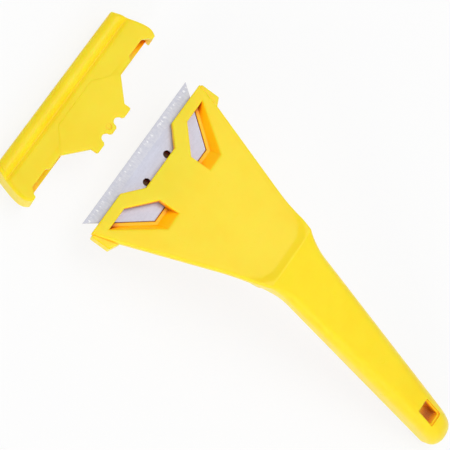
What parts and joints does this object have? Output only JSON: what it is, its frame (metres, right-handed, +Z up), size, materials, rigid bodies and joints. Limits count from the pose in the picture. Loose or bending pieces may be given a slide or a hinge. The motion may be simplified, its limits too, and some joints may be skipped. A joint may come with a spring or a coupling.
{
  "type": "window scraper",
  "caption": "Hand scraper with a cranked tapered handle, a flat head that clamps a trapezoid blade, and a push-on blade guard.",
  "frame": {"origin": "on the ground under the middle of the part's box, with the scraper standing on its guard and the tip of its handle", "axes": "+Y from the guard towards the tip of the handle, +X across the blade, +Z up"},
  "size_m": [0.075, 0.1938, 0.0403],
  "materials": {
    "body_plastic": "smooth moulded yellow",
    "guard_plastic": "smooth moulded yellow",
    "blade_steel": "ground edge, light grain"
  },
  "bodies": {
    "body": {"handle_body": "body_plastic"},
    "blade": {"blade": "blade_steel"},
    "guard": {"blade_guard": "guard_plastic"}
  },
  "joints": [
    {"name": "blade_slide", "type": "slide", "parent": "body", "child": "blade", "axis": [0, -0.9547, -0.2976], "range_m": [0, 0.02]},
    {"name": "guard_slide", "type": "slide", "parent": "blade", "child": "guard", "axis": [0, 0.9547, 0.2976], "range_m": [0, 0.032]}
  ]
}
